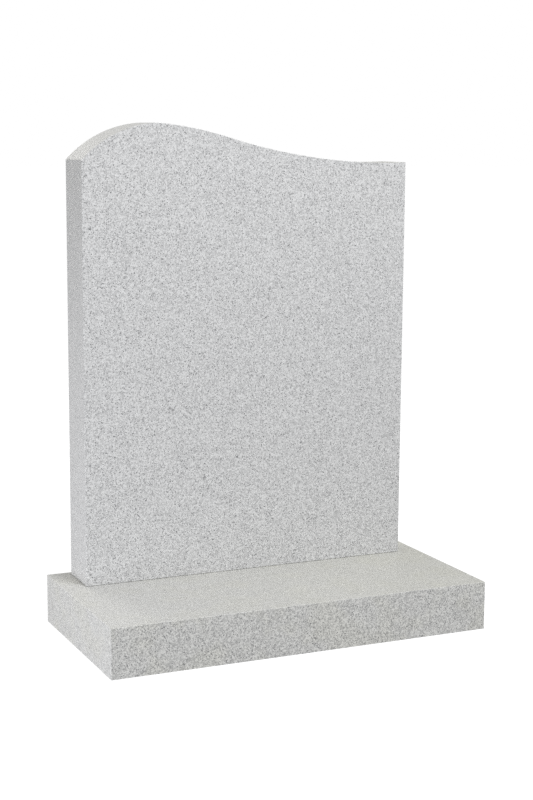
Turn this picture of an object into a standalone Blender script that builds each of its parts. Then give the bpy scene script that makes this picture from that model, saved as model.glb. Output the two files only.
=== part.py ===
"""Upright granite headstone: a tablet with an off-centre ogee top, standing on a rectangular base.

Metres, +Z up. The origin is at the middle of the base's underside. The tablet faces -Y, and its high
crown is on the -X side. The tablet stands on the base on a thin bed, so the two never share a face.
"""

import math

import bmesh
import bpy
from mathutils import Vector


# Base: the plinth slab.
BASE_LENGTH = 0.610
BASE_DEPTH = 0.305
BASE_HEIGHT = 0.075

# Tablet: the upright slab. Its height runs from its foot to the crest of the crown.
TABLET_WIDTH = 0.540
TABLET_THICKNESS = 0.076
TABLET_HEIGHT = 0.697
TABLET_BACK_MARGIN = 0.014

# Ogee top of the tablet. The insets run in from the tablet's two ends. The slopes are where the tight arc
# over the crest starts and stops.
CREST_INSET = 0.118
CREST_ABOVE_SHOULDER = 0.055
CREST_ABOVE_LOW_POINT = 0.0595
LOW_POINT_INSET = 0.034
CREST_RADIUS = 0.060
CREST_RISE = math.radians(5.2)
CREST_FALL = math.radians(5.0)
CROWN_RADIUS = 0.583

# Narrow flat taken off every sawn edge that shows, and the bed under the tablet's foot.
ARRIS = 0.0005
BED = 0.0003

# Length of one straight facet along the curved top, and the least angle of a sharp edge.
FACET = 0.007
SHARP = math.radians(20.0)


def clear_scene():
    """Start from an empty file."""
    for item in list(bpy.data.objects):
        bpy.data.objects.remove(item, do_unlink=True)


def granite(name, colour, roughness):
    """Plain stone finish for one slab."""
    material = bpy.data.materials.new(name)
    material.use_nodes = True
    shader = material.node_tree.nodes["Principled BSDF"]
    shader.inputs["Base Color"].default_value = (*colour, 1.0)
    shader.inputs["Roughness"].default_value = roughness
    shader.inputs["Metallic"].default_value = 0.0
    return material


def arc(centre_x, centre_z, radius, start, end):
    """Points along an arc from one angle to another, the first one left out. Angles are from +X."""
    steps = max(2, math.ceil(abs(end - start) * radius / FACET))
    angles = [start + (end - start) * step / steps for step in range(1, steps + 1)]
    return [(centre_x + radius * math.cos(a), centre_z + radius * math.sin(a)) for a in angles]


def ogee_top(left, right, crest_z):
    """Top of the tablet from its left end to its right end, as four arcs that meet smoothly.

    The first rises from the left shoulder almost to the crest, and a tight one turns over the crest. The
    third is the long fall of the crown. The last is hollow: it takes over from the third, and is level at
    the low point.
    """
    level = math.pi / 2.0
    shoulder_z = crest_z - CREST_ABOVE_SHOULDER
    crest_x = left + CREST_INSET
    low_x = right - LOW_POINT_INSET
    low_z = crest_z - CREST_ABOVE_LOW_POINT

    rise_length = CREST_INSET - CREST_RADIUS * math.sin(CREST_RISE)
    rise_height = CREST_ABOVE_SHOULDER - CREST_RADIUS * (1.0 - math.cos(CREST_RISE))
    shoulder_slope = 2.0 * math.atan2(rise_height, rise_length) - CREST_RISE
    rise_radius = rise_length / (math.sin(shoulder_slope) - math.sin(CREST_RISE))
    rise_x = left + rise_radius * math.sin(shoulder_slope)
    rise_z = shoulder_z - rise_radius * math.cos(shoulder_slope)

    crown_x = crest_x - (CROWN_RADIUS - CREST_RADIUS) * math.sin(CREST_FALL)
    crown_z = crest_z - CREST_RADIUS - (CROWN_RADIUS - CREST_RADIUS) * math.cos(CREST_FALL)
    run = low_x - crown_x
    drop = crown_z + CROWN_RADIUS - low_z
    both_radii = (run ** 2 + drop ** 2) / (2.0 * drop)
    hollow_radius = both_radii - CROWN_RADIUS
    turn = math.acos(1.0 - drop / both_radii)
    end_angle = -level + math.asin(LOW_POINT_INSET / hollow_radius)

    points = [(left, shoulder_z)]
    points += arc(rise_x, rise_z, rise_radius, level + shoulder_slope, level + CREST_RISE)
    points += arc(crest_x, crest_z - CREST_RADIUS, CREST_RADIUS, level + CREST_RISE, level - CREST_FALL)
    points += arc(crown_x, crown_z, CROWN_RADIUS, level - CREST_FALL, level - turn)
    points += arc(low_x, low_z + hollow_radius, hollow_radius, -level - turn, end_angle)
    return points


def slab(name, outline, front_y, back_y, eased_above, material):
    """One slab: its outline in X and Z, extruded from front to back.

    Each sharp edge that reaches above the given height is eased. The others stay as the saw left them.
    """
    shape = bmesh.new()
    face = shape.faces.new([shape.verts.new((x, front_y, z)) for x, z in outline])
    grown = bmesh.ops.extrude_face_region(shape, geom=[face])
    moved = [item for item in grown["geom"] if isinstance(item, bmesh.types.BMVert)]
    bmesh.ops.translate(shape, verts=moved, vec=Vector((0.0, back_y - front_y, 0.0)))
    bmesh.ops.recalc_face_normals(shape, faces=shape.faces)
    eased = [edge for edge in shape.edges
             if edge.calc_face_angle() > SHARP and max(vert.co.z for vert in edge.verts) > eased_above]
    bmesh.ops.bevel(shape, geom=eased, offset=ARRIS, offset_type="OFFSET", segments=1, profile=0.5,
                    affect="EDGES", clamp_overlap=True, material=-1)
    mesh = bpy.data.meshes.new(name)
    shape.to_mesh(mesh)
    shape.free()
    mesh.shade_smooth()
    mesh.set_sharp_from_angle(angle=SHARP)
    mesh.materials.append(material)
    made = bpy.data.objects.new(name, mesh)
    bpy.context.scene.collection.objects.link(made)
    return made


def make_base():
    """Rectangular plinth with eased top and upright edges, and a sawn edge round its underside."""
    right = BASE_LENGTH / 2.0
    outline = [(-right, 0.0), (right, 0.0), (right, BASE_HEIGHT), (-right, BASE_HEIGHT)]
    slab("base", outline, -BASE_DEPTH / 2.0, BASE_DEPTH / 2.0, BASE_HEIGHT / 2.0,
         granite("base granite", (0.50, 0.50, 0.48), 0.55))


def make_headstone():
    """Upright tablet with the ogee top, centred along the base and set back on it."""
    left = -TABLET_WIDTH / 2.0
    right = TABLET_WIDTH / 2.0
    foot = BASE_HEIGHT + BED
    back_y = BASE_DEPTH / 2.0 - TABLET_BACK_MARGIN
    front_y = back_y - TABLET_THICKNESS
    top = ogee_top(left, right, foot + TABLET_HEIGHT)
    outline = [(right, foot), (left, foot)] + top
    slab("headstone", outline, front_y, back_y, 0.0,
         granite("headstone granite", (0.56, 0.57, 0.57), 0.5))


clear_scene()
make_base()
make_headstone()
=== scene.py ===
"""Looks of an upright granite headstone with an off-centre ogee top, standing on its base, in metres."""

import math

import bmesh
import bpy
from mathutils import Matrix, Vector, noise


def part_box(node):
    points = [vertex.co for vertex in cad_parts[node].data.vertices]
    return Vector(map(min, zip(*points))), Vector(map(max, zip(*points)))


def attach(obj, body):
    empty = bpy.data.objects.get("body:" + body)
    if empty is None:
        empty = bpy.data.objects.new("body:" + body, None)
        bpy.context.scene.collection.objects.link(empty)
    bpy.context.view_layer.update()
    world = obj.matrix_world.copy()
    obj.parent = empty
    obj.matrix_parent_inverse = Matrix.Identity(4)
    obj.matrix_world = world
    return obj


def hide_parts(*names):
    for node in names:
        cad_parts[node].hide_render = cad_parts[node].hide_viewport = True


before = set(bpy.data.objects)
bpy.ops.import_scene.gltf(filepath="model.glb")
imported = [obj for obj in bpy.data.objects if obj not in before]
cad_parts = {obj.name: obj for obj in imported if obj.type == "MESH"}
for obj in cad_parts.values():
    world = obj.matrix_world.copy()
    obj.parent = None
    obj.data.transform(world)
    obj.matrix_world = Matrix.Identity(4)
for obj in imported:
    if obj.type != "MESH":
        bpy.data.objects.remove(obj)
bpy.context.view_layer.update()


# Base
# The low plinth that the tablet stands on: one slab of pale grey granite, sawn on every side and rubbed
# smooth, with its top and upright edges eased by hand. It lies flat on the ground by its own weight.

CELL = 0.006
SAME_PLACE = 0.00001
SAME_PLANE = math.radians(0.1)
CORNER = math.radians(20.0)
ARRIS_SOFTNESS = 0.00015
ARRIS_WANDER = 0.00008
ARRIS_WAVE = 0.015
RUBBED_DEPTH = 0.00004
RUBBED_WAVE = 0.045
SQUARE_ON = 0.995
SHARP = math.radians(8.0)


def cut_in_cells(shape, axis, low, high):
    """Cuts the mesh by evenly spaced planes across one axis, so that a flat face becomes a grid."""
    count = round((high - low) / CELL)
    for step in range(1, count):
        place = Vector((0.0, 0.0, 0.0))
        place[axis] = low + (high - low) * step / count
        across = Vector((0.0, 0.0, 0.0))
        across[axis] = 1.0
        everything = [*shape.verts, *shape.edges, *shape.faces]
        bmesh.ops.bisect_plane(shape, geom=everything, dist=SAME_PLACE, plane_co=place, plane_no=across)


def rubbed_slab(name, node):
    """The slab of a CAD node as a mason leaves it: each arris softened, and no face quite true."""
    shape = bmesh.new()
    shape.from_mesh(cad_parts[node].data)
    bmesh.ops.remove_doubles(shape, verts=shape.verts, dist=SAME_PLACE)
    bmesh.ops.dissolve_limit(shape, angle_limit=SAME_PLANE, verts=shape.verts, edges=shape.edges)
    corners = [edge for edge in shape.edges if edge.calc_face_angle() > CORNER]
    bmesh.ops.bevel(shape, geom=corners, offset=ARRIS_SOFTNESS, offset_type="OFFSET", segments=2,
                    profile=0.5, affect="EDGES", clamp_overlap=True, material=-1)
    low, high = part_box(node)
    for axis in range(3):
        cut_in_cells(shape, axis, low[axis], high[axis])

    shape.normal_update()
    for vert in shape.verts:
        if max(abs(part) for part in vert.normal) > SQUARE_ON:
            lift = RUBBED_DEPTH * noise.noise(vert.co / RUBBED_WAVE)
        else:
            lift = ARRIS_WANDER * noise.noise(vert.co / ARRIS_WAVE)
        vert.co += vert.normal * lift

    mesh = bpy.data.meshes.new(name)
    shape.to_mesh(mesh)
    shape.free()
    mesh.shade_smooth()
    mesh.set_sharp_from_angle(angle=SHARP)
    slab = bpy.data.objects.new(name, mesh)
    bpy.context.scene.collection.objects.link(slab)
    return slab


class Tone:
    """One value in the nodes. Sums, differences and products of values add their Math nodes."""

    def __init__(self, paint, socket):
        self.paint = paint
        self.socket = socket

    def math(self, operation, first, second):
        return self.paint.add("ShaderNodeMath", {"operation": operation}, {0: first, 1: second})

    def __add__(self, other):
        return self.math("ADD", self, other)

    __radd__ = __add__

    def __mul__(self, other):
        return self.math("MULTIPLY", self, other)

    __rmul__ = __mul__

    def __sub__(self, other):
        return self.math("SUBTRACT", self, other)

    def __rsub__(self, other):
        return self.math("SUBTRACT", other, self)

    def clear_of(self, start, end):
        """0 below start, 1 above end, and a smooth rise between."""
        return self.paint.add("ShaderNodeMapRange", {"interpolation_type": "SMOOTHSTEP"},
                              {"Value": self, "From Min": start, "From Max": end})


class Paint:
    """The nodes of one material, or of the light of the room, put in one by one."""

    def __init__(self, tree):
        self.tree = tree

    def add(self, kind, settings, sockets, output=0):
        """Any node: its settings first, then what goes into its sockets, a value or a link."""
        node = self.tree.nodes.new(kind)
        for key, value in settings.items():
            setattr(node, key, value)
        for key, value in sockets.items():
            self.feed(node.inputs[key], value)
        return Tone(self, node.outputs[output])

    def feed(self, target, value):
        """Links a node's output to a socket, or sets the socket to a constant."""
        if isinstance(value, Tone):
            self.tree.links.new(value.socket, target)
        else:
            target.default_value = value

    def mix(self, factor, first, second, blend="MIX"):
        """Two colours, mixed."""
        return self.add("ShaderNodeMix", {"data_type": "RGBA", "blend_type": blend},
                        {0: factor, 6: first, 7: second}, 2)


GRAINS_PER_METRE = (650.0, 1300.0, 560.0)
RAGGED_EDGE = 0.31
RAGGED_SCALE = 1.8
FELDSPAR_SHARE = (0.15, 0.85)
FLECKS_PER_GRAIN = 1.36
BIOTITE = (0.200, 0.200, 0.200, 1.0)
BIOTITE_SHARE = (0.905, 0.942)
WARM_TINT = (1.0, 0.998, 0.972, 1.0)
PATCHES_PER_METRE = 17.0
PATCH_EDGE = (0.44, 0.62)
# Painted warm top light: the tones that upward faces are mixed towards, standing in for warm light from
# above, warmer towards the right.
PAINTED_TOP_LIGHT_LEFT = (0.540, 0.534, 0.503, 1.0)
PAINTED_TOP_LIGHT_RIGHT = (0.530, 0.522, 0.433, 1.0)
PAINTED_TOP_LIGHT_DRIFT = (-0.3, 0.3)
PAINTED_TOP_LIGHT_FACING = (0.5, 0.95)
PAINTED_TOP_LIGHT_SHARE = 0.3
RUBBED_ROUGHNESS = 0.58
MICA_GLOSS = 0.2
RELIEF_STRENGTH = 0.07
RELIEF_DEPTH = 0.0003


def granite(name, feldspar, quartz, warm_patches):
    """Fine pale granite, rubbed dull: white feldspar and grey quartz, peppered with dark flecks of biotite.

    Its grains are thinnest through the slab, from front to back. Its tops are tinted with painted warm light
    from above, warmer towards the right.
    """
    material = bpy.data.materials.new(name)
    material.use_nodes = True
    paint = Paint(material.node_tree)
    shader = material.node_tree.nodes["Principled BSDF"]
    place = paint.add("ShaderNodeTexCoord", {}, {}, "Object")

    counted = paint.add("ShaderNodeVectorMath", {"operation": "MULTIPLY"}, {0: place, 1: GRAINS_PER_METRE})
    torn = paint.add("ShaderNodeTexNoise", {}, {"Vector": counted, "Scale": RAGGED_SCALE, "Detail": 1.0},
                     "Color")
    ragged = paint.add("ShaderNodeVectorMath", {"operation": "MULTIPLY_ADD"},
                       {0: torn, 1: (RAGGED_EDGE, RAGGED_EDGE, RAGGED_EDGE), 2: counted})
    grains = paint.add("ShaderNodeTexVoronoi", {}, {"Vector": ragged, "Scale": 1.0}, "Color")
    paleness = paint.add("ShaderNodeSeparateColor", {}, {0: grains}, "Red")
    crystals = paint.mix(paleness.clear_of(*FELDSPAR_SHARE), (*quartz, 1.0), (*feldspar, 1.0))

    flecks = paint.add("ShaderNodeTexVoronoi", {}, {"Vector": ragged, "Scale": FLECKS_PER_GRAIN}, "Color")
    biotite_here = paint.add("ShaderNodeSeparateColor", {}, {0: flecks}, "Red").clear_of(*BIOTITE_SHARE)
    stone = paint.mix(biotite_here, crystals, BIOTITE)

    if warm_patches:
        blotches = paint.add("ShaderNodeTexNoise", {},
                             {"Vector": place, "Scale": PATCHES_PER_METRE, "Detail": 3.0})
        stone = paint.mix(blotches.clear_of(*PATCH_EDGE), stone, WARM_TINT, "MULTIPLY")
    sideways = paint.add("ShaderNodeSeparateXYZ", {}, {0: place}, "X")
    # Painted warm top light: upward faces are tinted warmer, as warm light from above would tint them, and
    # warmer still towards the right.
    painted_top_light = paint.mix(sideways.clear_of(*PAINTED_TOP_LIGHT_DRIFT), PAINTED_TOP_LIGHT_LEFT, PAINTED_TOP_LIGHT_RIGHT)
    facing = paint.add("ShaderNodeTexCoord", {}, {}, "Normal")
    upward = paint.add("ShaderNodeSeparateXYZ", {}, {0: facing}, "Z")
    stone = paint.mix(upward.clear_of(*PAINTED_TOP_LIGHT_FACING) * PAINTED_TOP_LIGHT_SHARE, stone, painted_top_light)

    paint.feed(shader.inputs["Base Color"], stone)
    paint.feed(shader.inputs["Roughness"], RUBBED_ROUGHNESS - biotite_here * MICA_GLOSS)
    relief = paint.add("ShaderNodeBump", {}, {"Strength": RELIEF_STRENGTH, "Distance": RELIEF_DEPTH,
                                              "Height": paleness - biotite_here})
    paint.feed(shader.inputs["Normal"], relief)
    return material


BASE_FELDSPAR = (0.641, 0.638, 0.609)
BASE_QUARTZ = (0.408, 0.407, 0.391)

base = rubbed_slab("granite_base", "base")
base.data.materials.append(granite("base granite", BASE_FELDSPAR, BASE_QUARTZ, warm_patches=True))
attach(base, "root")
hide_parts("base")


# Headstone
# The upright tablet: a slab of the same granite, sawn to an off-centre ogee along its top, rubbed on all
# faces and left blank. It stands on a thin bed of compound near the back of the base.

TABLET_FELDSPAR = (0.618, 0.617, 0.603)
TABLET_QUARTZ = (0.433, 0.432, 0.423)

headstone = rubbed_slab("granite_headstone", "headstone")
headstone.data.materials.append(
    granite("headstone granite", TABLET_FELDSPAR, TABLET_QUARTZ, warm_patches=False))
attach(headstone, "root")
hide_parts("headstone")


# Floor
# A seamless white studio floor, far larger than the view. It glows, so that it meets the white room with no
# line. What it would bounce onto the stone is left to the room's light.

FLOOR_SIZE = 60.0
FLOOR_DROP = 0.0002
FLOOR_GREY = (0.22, 0.22, 0.22, 1.0)
FLOOR_ROUGHNESS = 0.9
FLOOR_GLOW = 0.88

floor_shape = bmesh.new()
bmesh.ops.create_grid(floor_shape, x_segments=1, y_segments=1, size=FLOOR_SIZE / 2.0)
bmesh.ops.translate(floor_shape, verts=floor_shape.verts, vec=(0.0, 0.0, -FLOOR_DROP))
floor_mesh = bpy.data.meshes.new("studio_floor")
floor_shape.to_mesh(floor_mesh)
floor_shape.free()
floor = bpy.data.objects.new("studio_floor", floor_mesh)
bpy.context.scene.collection.objects.link(floor)
floor.visible_diffuse = False
floor.visible_glossy = False
floor.visible_shadow = False
floor_material = bpy.data.materials.new("white studio floor")
floor_material.use_nodes = True
floor_shader = floor_material.node_tree.nodes["Principled BSDF"]
floor_shader.inputs["Base Color"].default_value = FLOOR_GREY
floor_shader.inputs["Roughness"].default_value = FLOOR_ROUGHNESS
floor_shader.inputs["Specular IOR Level"].default_value = 0.0
floor_shader.inputs["Emission Color"].default_value = (1.0, 1.0, 1.0, 1.0)
floor_shader.inputs["Emission Strength"].default_value = FLOOR_GLOW
floor_mesh.materials.append(floor_material)


# Light
# A white room, dimmer below and straight behind the stone, with soft boxes: the main one high in front,
# three high behind, two low at the left and one low at the right. The camera sees the room as plain white.

ROOM_ABOVE = 0.60
ROOM_BELOW = 0.40
ROOM_BEHIND = 0.15
HORIZON = (-0.05, 0.05)
BEHIND_TOP = (0.25, 0.6)
BEHIND_SIDES = (0.1, 0.5)

world = bpy.data.worlds.new("white studio")
world.use_nodes = True
room = Paint(world.node_tree)
way = room.add("ShaderNodeTexCoord", {}, {}, "Generated")
backward = room.add("ShaderNodeSeparateXYZ", {}, {0: way}, "Y")
upward = room.add("ShaderNodeSeparateXYZ", {}, {0: way}, "Z")
above = upward.clear_of(*HORIZON)
behind = above * (1.0 - upward.clear_of(*BEHIND_TOP)) * backward.clear_of(*BEHIND_SIDES)
room_light = above * (ROOM_ABOVE - ROOM_BELOW) - behind * (ROOM_ABOVE - ROOM_BEHIND) + ROOM_BELOW
camera_sees_it = room.add("ShaderNodeLightPath", {}, {}, "Is Camera Ray")
background = world.node_tree.nodes["Background"]
background.inputs["Color"].default_value = (1.0, 1.0, 1.0, 1.0)
room.feed(background.inputs["Strength"], room_light + camera_sees_it * (1.0 - room_light))
bpy.context.scene.world = world


def soft_box(name, place, aim, size, power, colour, sheen=True):
    """A square soft box at a place, turned to face a point. Without sheen, the stone doesn't mirror it."""
    light = bpy.data.lights.new(name, "AREA")
    light.shape = "SQUARE"
    light.size = size
    light.energy = power
    light.color = colour
    lamp = bpy.data.objects.new(name, light)
    lamp.location = place
    lamp.rotation_euler = (Vector(aim) - Vector(place)).to_track_quat("-Z", "Y").to_euler()
    lamp.visible_camera = False
    lamp.visible_glossy = sheen
    bpy.context.scene.collection.objects.link(lamp)


soft_box("front_soft_box", (0.6, -1.9, 2.3), (0.0, 0.0, 0.4), 1.2, 62.6, (0.942, 0.957, 1.0))
soft_box("back_soft_box", (-0.6, 2.0, 1.6), (0.0, 0.0, 0.6), 0.8, 10.1, (1.0, 0.99, 0.945))
soft_box("back_right_soft_box", (0.1, 2.1, 1.5), (0.0, 0.0, 0.6), 0.8, 1.5, (1.0, 0.99, 0.945))
soft_box("back_left_soft_box", (-1.0, 1.8, 1.6), (-0.2, 0.0, 0.6), 0.8, 3.3, (1.0, 0.99, 0.95), sheen=False)
soft_box("low_left_soft_box", (-1.2, -0.3, 0.1), (-0.3, -0.1, 0.1), 0.6, 6.0, (0.87, 0.90, 1.0), sheen=False)
soft_box("side_soft_box", (-1.2, 0.1, 0.05), (-0.3, 0.1, 0.1), 0.5, 2.45, (1.0, 0.98, 0.96), sheen=False)
soft_box("right_soft_box", (1.6, 0.4, 0.08), (0.27, 0.1, 0.35), 0.5, 6.5, (1.0, 0.99, 0.98), sheen=False)


# Camera
# The photograph's view: from the front left, about level with the stone's crest and looking slightly down,
# with a short telephoto lens. The focal length in pixels is for a picture 800 pixels high.

CAMERA_PLACE = (-1.0123, -2.2216, 0.7598)
CAMERA_TURN = math.radians(24.506)
CAMERA_DIP = math.radians(9.394)
CAMERA_ROLL = math.radians(0.368)
FOCAL_PIXELS = 1621.0
PICTURE_HEIGHT = 800.0
SENSOR = 36.0

lens = bpy.data.cameras.new("photo_camera")
lens.sensor_width = SENSOR
lens.lens = FOCAL_PIXELS / PICTURE_HEIGHT * SENSOR
camera = bpy.data.objects.new("photo_camera", lens)
camera.matrix_world = (
    Matrix.Translation(CAMERA_PLACE)
    @ Matrix.Rotation(-CAMERA_TURN, 4, "Z")
    @ Matrix.Rotation(math.pi / 2.0 - CAMERA_DIP, 4, "X")
    @ Matrix.Rotation(CAMERA_ROLL, 4, "Z")
)
bpy.context.scene.collection.objects.link(camera)
bpy.context.scene.camera = camera

# The stone's fine grain is kept as it is: a denoiser would smear it.
bpy.context.scene.cycles.use_denoising = False
bpy.context.scene.view_settings.view_transform = "Standard"
